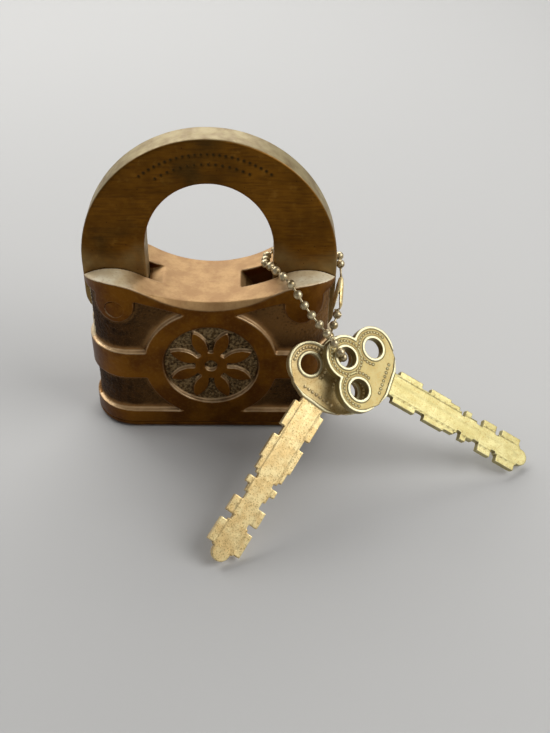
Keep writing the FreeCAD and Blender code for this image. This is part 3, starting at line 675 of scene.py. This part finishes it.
def turned(profile, centre, axis, steps=28):
    """Points and faces of a profile of (along, radius) pairs turned round an axis."""
    axis = Vector(axis).normalized()
    across = axis.orthogonal().normalized()
    third = axis.cross(across)
    points, faces = [], []
    for along, radius in profile:
        for k in range(steps):
            turn = 2 * math.pi * k / steps
            ring = (across * math.cos(turn) + third * math.sin(turn)) * radius
            points.append(Vector(centre) + axis * along + ring)
    for row in range(len(profile) - 1):
        for k in range(steps):
            after = (k + 1) % steps
            faces.append((row * steps + k, row * steps + after,
                          (row + 1) * steps + after, (row + 1) * steps + k))
    faces.append(tuple(range(steps - 1, -1, -1)))
    faces.append(tuple((len(profile) - 1) * steps + k for k in range(steps)))
    return points, faces


def make_turned(name, node, shapes, material):
    """One piece from several turned shapes; it stands for the node."""
    points, faces = [], []
    for more_points, more_faces in shapes:
        faces += [tuple(len(points) + k for k in face) for face in more_faces]
        points += [p * MM for p in more_points]
    mesh = bpy.data.meshes.new(name)
    mesh.from_pydata(points, [], faces)
    stand_in(name, mesh, material, node)


def make_chain(which, material):
    """Hollow beads with a turned-in mouth at each end, on waisted wire links."""
    wires = []
    for part in islands(which + "_links"):
        centre = part.mean(axis=0)
        axis = np.linalg.svd(part - centre)[2][0]
        wires.append((centre, axis, np.ptp(part @ axis)))
    wire_shapes = []
    for centre, axis, length in wires:
        half = length / 2 + 0.3
        profile = [(-half, WIRE_END), (-0.6 * half, WIRE_NECK), (0, WIRE_WAIST),
                   (0.6 * half, WIRE_NECK), (half, WIRE_END)]
        wire_shapes.append(turned(profile, centre, axis, 12))
    make_turned(which + "_wire_links", which + "_links", wire_shapes, material)
    bead_shapes = []
    for part in islands(which + "_beads"):
        centre = part.mean(axis=0)
        radius = np.linalg.norm(part - centre, axis=1).max()
        nearest = min(wires, key=lambda wire: np.linalg.norm(wire[0] - centre))
        mouth = math.asin(BEAD_MOUTH / radius)
        turns = np.linspace(mouth, math.pi - mouth, 15)
        profile = [(-radius * math.cos(t), radius * math.sin(t)) for t in turns]
        end = profile[-1][0]
        profile = ([(-end + 0.3, BEAD_BORE), (-end + 0.04, BEAD_LIP)] + profile
                   + [(end - 0.04, BEAD_LIP), (end - 0.3, BEAD_BORE)])
        bead_shapes.append(turned(profile, centre, nearest[1]))
    make_turned(which + "_ball_beads", which + "_beads", bead_shapes, material)


# ---- small parts ----------------------------------------------------------------------------------


def make_small(name, node, voxel, material):
    """A small part with its edges broken and its surface slightly uneven."""
    skin = Skin(name, node, voxel)
    skin.smooth(3)
    skin.push(0.15 * voxel * fractal(skin.co, 8 * voxel, 3, 27))
    skin.finish(material)


def finish_inner_nodes(finishes):
    """The nodes inside the case keep their CAD mesh, with the plain finish of their slot."""
    for node, piece in NODES.items():
        if not piece.hide_render:
            piece.data.materials.clear()
            piece.data.materials.append(finishes[SLOT_OF[node]])


# ---- all the pieces -------------------------------------------------------------------------------

make_case()
make_pivot_pin()
make_shackle()
make_key("key_1", key_material("key_brass_pale", srgb(190, 181, 128), srgb(172, 161, 106)))
make_key("key_2", key_material("key_brass_warm", srgb(250, 228, 168), srgb(236, 204, 140)))
bead = plain_metal("bead_nickel", srgb(226, 210, 172), srgb(150, 130, 92), 0.36, 1.2, 0.85)
clasp = plain_metal("connector_brass", srgb(238, 220, 166), srgb(196, 166, 104), 0.4, 2.0, 0.7)
make_chain("loop", bead)
make_chain("drop", bead)
make_small("chain_coupling", "chain_connector", 0.12, clasp)
inner = plain_metal("inner_brass", srgb(196, 156, 84), srgb(168, 124, 60), 0.35)
steel = plain_metal("oiled_steel", srgb(150, 146, 140), srgb(104, 98, 90), 0.35)
case_plain = plain_metal("case_plain_brass", srgb(118, 74, 16), srgb(88, 50, 12), 0.45, 5.0)
rivet_brass = plain_metal("rivet_brass", srgb(150, 104, 44), srgb(104, 68, 24), 0.4, 1.5)
make_small("base_plate", "bottom_plate", 0.3, case_plain)
make_small("base_rivets", "bottom_rivets", 0.15, rivet_brass)
make_small("key_guide", "key_plug", 0.18, inner)
finish_inner_nodes({"inner_brass": inner, "steel": steel})

# ---- floor, light and camera ----------------------------------------------------------------------


def make_floor():
    """A plain pale floor, a hair below the underside of the lock."""
    mesh = bpy.data.meshes.new("floor")
    half, level = 3.0, -0.1 * MM
    corners = [(-half, -half, level), (half, -half, level), (half, half, level),
               (-half, half, level)]
    mesh.from_pydata(corners, [], [(0, 1, 2, 3)])
    floor = bpy.data.objects.new("floor", mesh)
    bpy.context.scene.collection.objects.link(floor)
    s = Shader("floor_pale")
    mesh.materials.append(s.done((0.5, 0.495, 0.48, 1.0), 0.8, 0.0))


def make_light(name, place, aim, size, watts):
    data = bpy.data.lights.new(name, "AREA")
    data.shape = "RECTANGLE"
    data.size, data.size_y = size
    data.energy = watts
    lamp = bpy.data.objects.new(name, data)
    lamp.location = place
    lamp.rotation_mode = "QUATERNION"
    lamp.rotation_quaternion = (Vector(aim) - Vector(place)).to_track_quat("-Z", "Y")
    bpy.context.scene.collection.objects.link(lamp)


def make_camera():
    """The lock is seen from in front, about 39 degrees above the table."""
    place = Vector((13.3, -238.4, 206.95)) * MM
    yaw, pitch, roll = 0.0295, 0.6785, 0.0249
    forward = Vector((math.sin(yaw) * math.cos(pitch), math.cos(yaw) * math.cos(pitch),
                      -math.sin(pitch)))
    right = Vector((math.cos(yaw), -math.sin(yaw), 0))
    up = right.cross(forward)
    turned_right = right * math.cos(roll) + up * math.sin(roll)
    turned_up = up * math.cos(roll) - right * math.sin(roll)
    data = bpy.data.cameras.new("camera")
    data.sensor_width = 36.0
    data.lens = 45.48
    data.clip_start, data.clip_end = 0.01, 10
    camera = bpy.data.objects.new("camera", data)
    axes = Matrix((turned_right, turned_up, -forward)).transposed().to_4x4()
    camera.matrix_world = Matrix.Translation(place) @ axes
    bpy.context.scene.collection.objects.link(camera)
    bpy.context.scene.camera = camera


def make_world():
    world = bpy.data.worlds.new("studio")
    world.use_nodes = True
    sky = world.node_tree.nodes["Background"]
    sky.inputs["Color"].default_value = (0.8, 0.8, 0.82, 1)
    sky.inputs["Strength"].default_value = 0.25
    bpy.context.scene.world = world


make_floor()
make_light("back_light", (-0.1, 0.55, 0.5), (0, 0, 0.05), (0.9, 0.5), 4.5)
make_light("left_light", (-0.5, 0.3, 0.5), (-0.02, 0, 0.05), (0.4, 0.4), 1.5)
make_light("right_light", (0.55, -0.16, 0.48), (0.02, -0.02, 0.03), (0.5, 0.5), 3.4)
make_camera()
make_world()
bpy.context.scene.view_settings.view_transform = "Standard"
